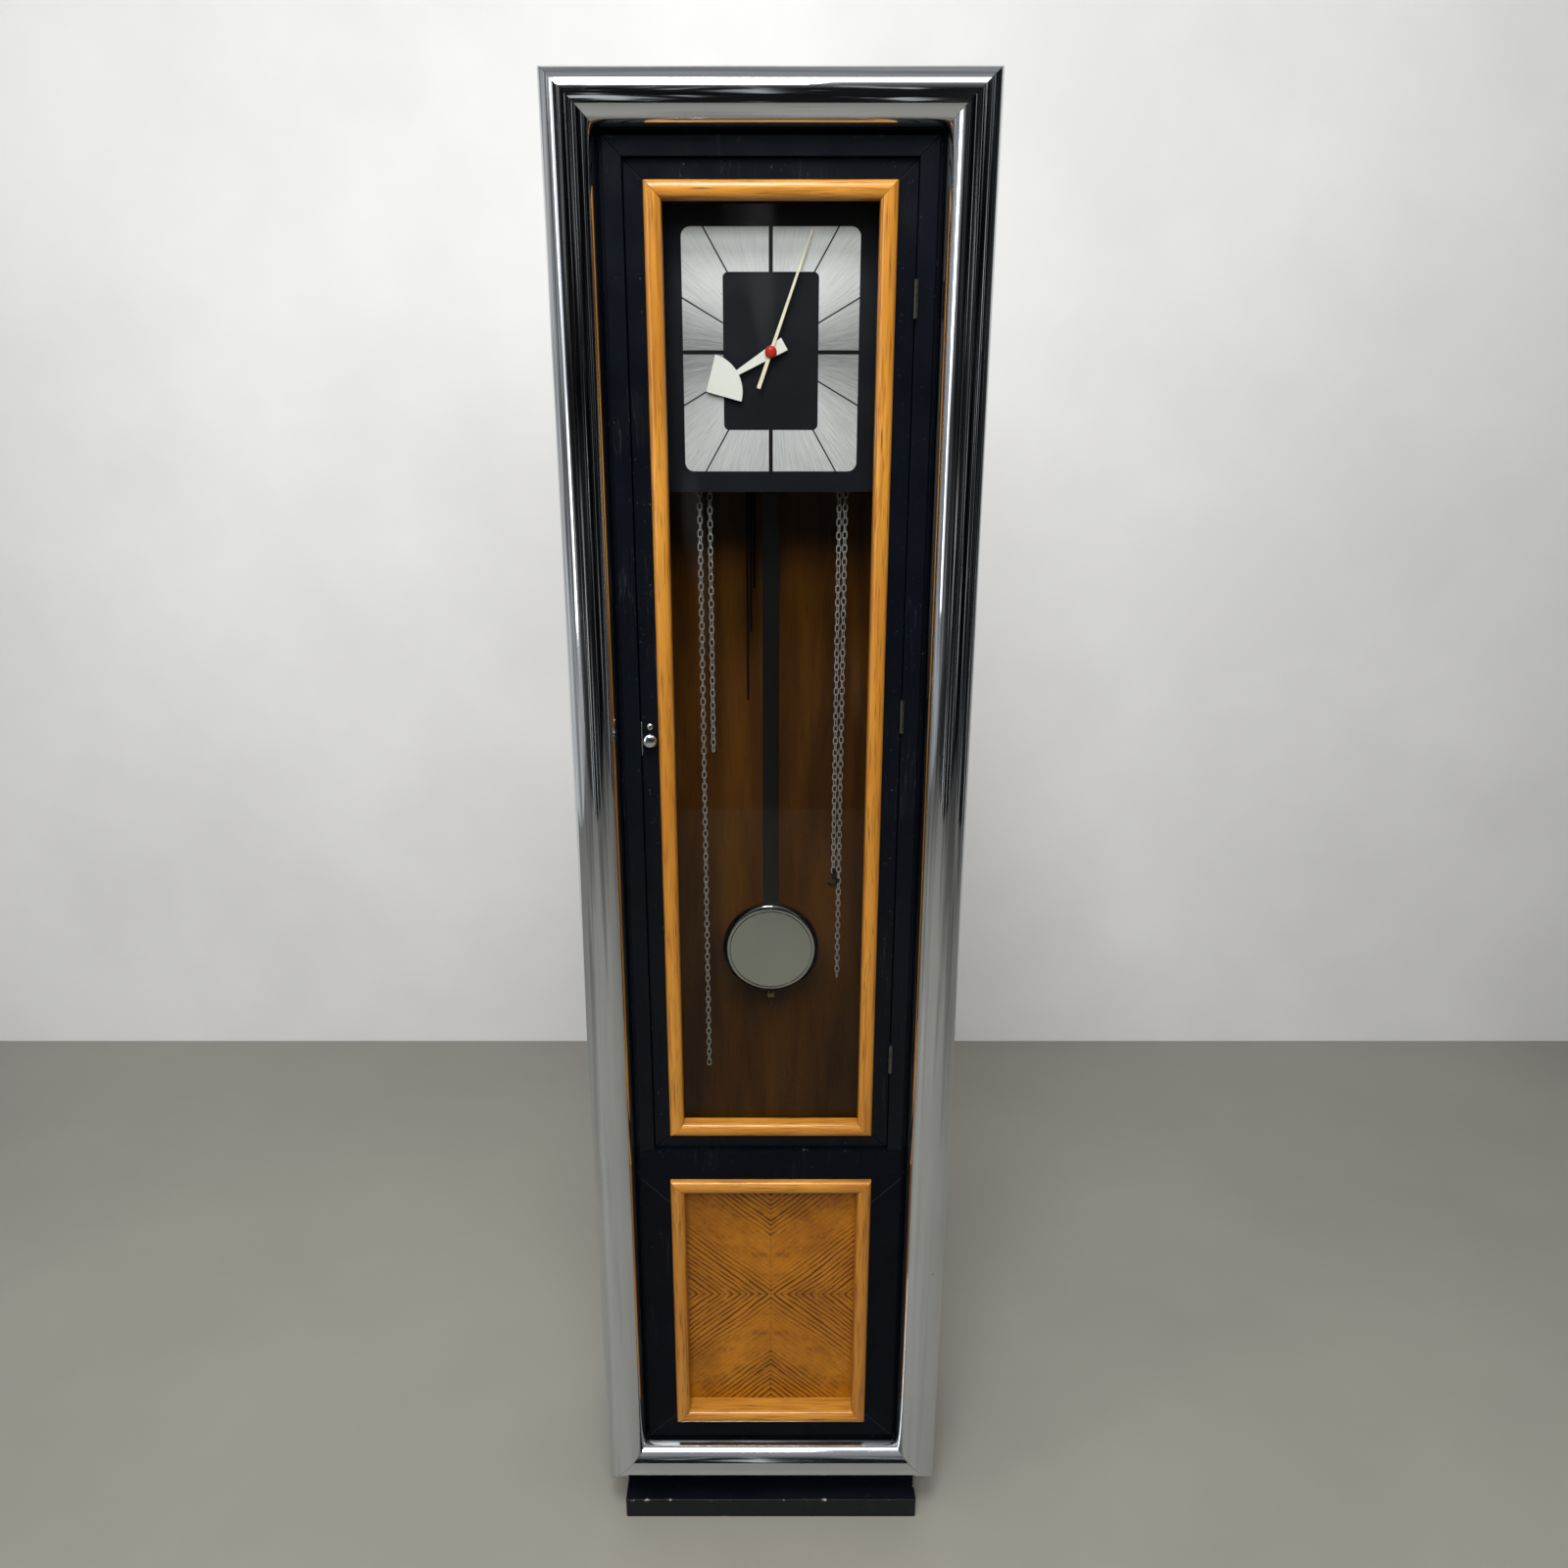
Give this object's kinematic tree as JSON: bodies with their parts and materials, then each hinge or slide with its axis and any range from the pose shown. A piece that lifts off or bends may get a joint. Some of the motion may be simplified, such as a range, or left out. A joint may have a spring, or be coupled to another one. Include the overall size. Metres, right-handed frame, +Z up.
{
  "type": "grandfather clock",
  "caption": "Slender longcase clock with a chrome-framed black case, a glazed hinged door, a rectangular dial, a swinging pendulum and a veneered lower panel.",
  "frame": {"origin": "on the floor under the middle of the case", "axes": "+X to the right of a person facing the dial, +Y to the back of the case, +Z up"},
  "size_m": [0.46, 0.2776, 1.82],
  "materials": {
    "black_lacquer": "satin black lacquer over wood, with fine scratches and dust",
    "chrome_trim": "polished chrome half-round with fine scratches and wear",
    "oak": "honey oak with open grain and clear satin finish",
    "veneer": "four-way matched oak veneer with clear satin finish",
    "back_panel": "stained wood panel with vertical grain",
    "glass": "clear door glass",
    "dial_black": "satin black paint",
    "dial_silver": "silver, brushed outwards from the centre",
    "hand_white": "matt white paint",
    "hand_cream": "matt cream paint",
    "cap_red": "red, domed",
    "brass": "lacquered brass, lightly tarnished",
    "steel": "bare steel",
    "chain_steel": "nickel-plated steel links, dulled",
    "dark_steel": "blackened steel",
    "pendulum_black": "satin black paint",
    "bob_chrome": "polished, slightly hazed"
  },
  "bodies": {
    "case": {"plinth_slab": "black_lacquer", "plinth_riser": "black_lacquer", "case_bottom": "black_lacquer", "case_top": "black_lacquer", "case_side_left": "black_lacquer", "case_side_right": "black_lacquer", "face_stile_left": "black_lacquer", "face_stile_right": "black_lacquer", "face_rail_top": "black_lacquer", "lower_frame": "black_lacquer", "case_back": "back_panel", "seat_board": "back_panel", "chrome_trim_left": "chrome_trim", "lower_moulding_left": "oak", "chrome_trim_right": "chrome_trim", "lower_moulding_right": "oak", "chrome_trim_top": "chrome_trim", "lower_moulding_top": "oak", "chrome_trim_bottom": "chrome_trim", "lower_moulding_bottom": "oak", "lower_panel": "veneer", "dial_plate": "dial_black", "dial_ring": "dial_silver", "movement_front_plate": "brass", "movement_back_plate": "brass", "chime_rods": "dark_steel", "hinge_top_frame_leaf": "dark_steel", "hinge_middle_frame_leaf": "dark_steel", "hinge_bottom_frame_leaf": "dark_steel", "time_chain": "chain_steel", "strike_chain": "chain_steel"},
    "door": {"door_stile_left": "black_lacquer", "door_stile_right": "black_lacquer", "door_rail_top": "black_lacquer", "door_rail_bottom": "black_lacquer", "door_moulding_left": "oak", "door_moulding_right": "oak", "door_moulding_top": "oak", "door_moulding_bottom": "oak", "door_glass": "glass", "latch_plate": "chrome_trim", "latch_stud": "chrome_trim", "hinge_top_door_leaf": "dark_steel", "hinge_middle_door_leaf": "dark_steel", "hinge_bottom_door_leaf": "dark_steel"},
    "latch": {"turn_latch": "chrome_trim"},
    "centre_arbor": {"centre_wheel": "brass", "minute_hand": "hand_cream", "hand_cap": "cap_red"},
    "hour_hand": {"hour_hand": "hand_white"},
    "intermediate_arbor": {"intermediate_wheel": "brass"},
    "great_arbor": {"great_wheel": "brass"},
    "third_arbor": {"third_wheel": "brass"},
    "escape_arbor": {"escape_wheel": "brass"},
    "strike_arbor": {"strike_great_wheel": "brass"},
    "pendulum": {"pendulum_rod": "pendulum_black"},
    "anchor": {"anchor": "steel"},
    "bob": {"pendulum_bob": "bob_chrome"},
    "rating_nut": {"rating_nut": "brass"},
    "hammer": {"strike_hammer": "steel"}
  },
  "joints": [
    {"name": "door_hinge", "type": "hinge", "parent": "case", "child": "door", "pos_m": [0.15075, -0.112, 1.161], "axis": [0, 0, 1], "range_deg": [0, 110]},
    {"name": "latch_turn", "type": "hinge", "parent": "door", "child": "latch", "pos_m": [-0.14, 0, 1.133], "axis": [0, 1, 0], "range_deg": [0, 90]},
    {"name": "minute_hand_turn", "type": "hinge", "parent": "case", "child": "centre_arbor", "pos_m": [0, 0, 1.5576], "axis": [0, 1, 0], "continuous": true},
    {"name": "hour_hand_turn", "type": "hinge", "parent": "case", "child": "hour_hand", "pos_m": [0, 0, 1.5576], "axis": [0, 1, 0], "continuous": true},
    {"name": "intermediate_wheel_turn", "type": "hinge", "parent": "case", "child": "intermediate_arbor", "pos_m": [0.03335, 0, 1.5339], "axis": [0, 1, 0], "continuous": true},
    {"name": "great_wheel_turn", "type": "hinge", "parent": "case", "child": "great_arbor", "pos_m": [0.0835, 0, 1.545], "axis": [0, 1, 0], "continuous": true},
    {"name": "third_wheel_turn", "type": "hinge", "parent": "case", "child": "third_arbor", "pos_m": [-0.02003, 0, 1.58201], "axis": [0, 1, 0], "continuous": true},
    {"name": "escape_wheel_turn", "type": "hinge", "parent": "case", "child": "escape_arbor", "pos_m": [0, 0, 1.5974], "axis": [0, 1, 0], "continuous": true},
    {"name": "strike_wheel_turn", "type": "hinge", "parent": "case", "child": "strike_arbor", "pos_m": [-0.07725, 0, 1.545], "axis": [0, 1, 0], "continuous": true},
    {"name": "pendulum_swing", "type": "hinge", "parent": "case", "child": "pendulum", "pos_m": [0, 0.039, 1.62], "axis": [0, 1, 0], "range_deg": [-4, 4]},
    {"name": "anchor_rock", "type": "hinge", "parent": "case", "child": "anchor", "pos_m": [0, 0, 1.62], "axis": [0, 1, 0], "range_deg": [-4, 4]},
    {"name": "bob_slide", "type": "slide", "parent": "pendulum", "child": "bob", "axis": [0, 0, 1], "range_m": [-0.007, 0.007]},
    {"name": "rating_nut_turn", "type": "hinge", "parent": "bob", "child": "rating_nut", "pos_m": [0, 0.039, 0.73], "axis": [0, 0, 1], "range_deg": [-3601, 3601]},
    {"name": "hammer_lift", "type": "hinge", "parent": "case", "child": "hammer", "pos_m": [-0.05, 0, 1.475], "axis": [0, 1, 0], "range_deg": [0, 20]}
  ],
  "couplings": [
    {"joint": "hour_hand_turn", "follows": "minute_hand_turn", "ratio": 0.083333},
    {"joint": "intermediate_wheel_turn", "follows": "minute_hand_turn", "ratio": -0.21429},
    {"joint": "great_wheel_turn", "follows": "minute_hand_turn", "ratio": 0.049451},
    {"joint": "third_wheel_turn", "follows": "minute_hand_turn", "ratio": -8},
    {"joint": "escape_wheel_turn", "follows": "minute_hand_turn", "ratio": 66.667},
    {"joint": "anchor_rock", "follows": "pendulum_swing", "ratio": 1},
    {"joint": "rating_nut_turn", "follows": "bob_slide", "rad_per_m": 8976}
  ]
}
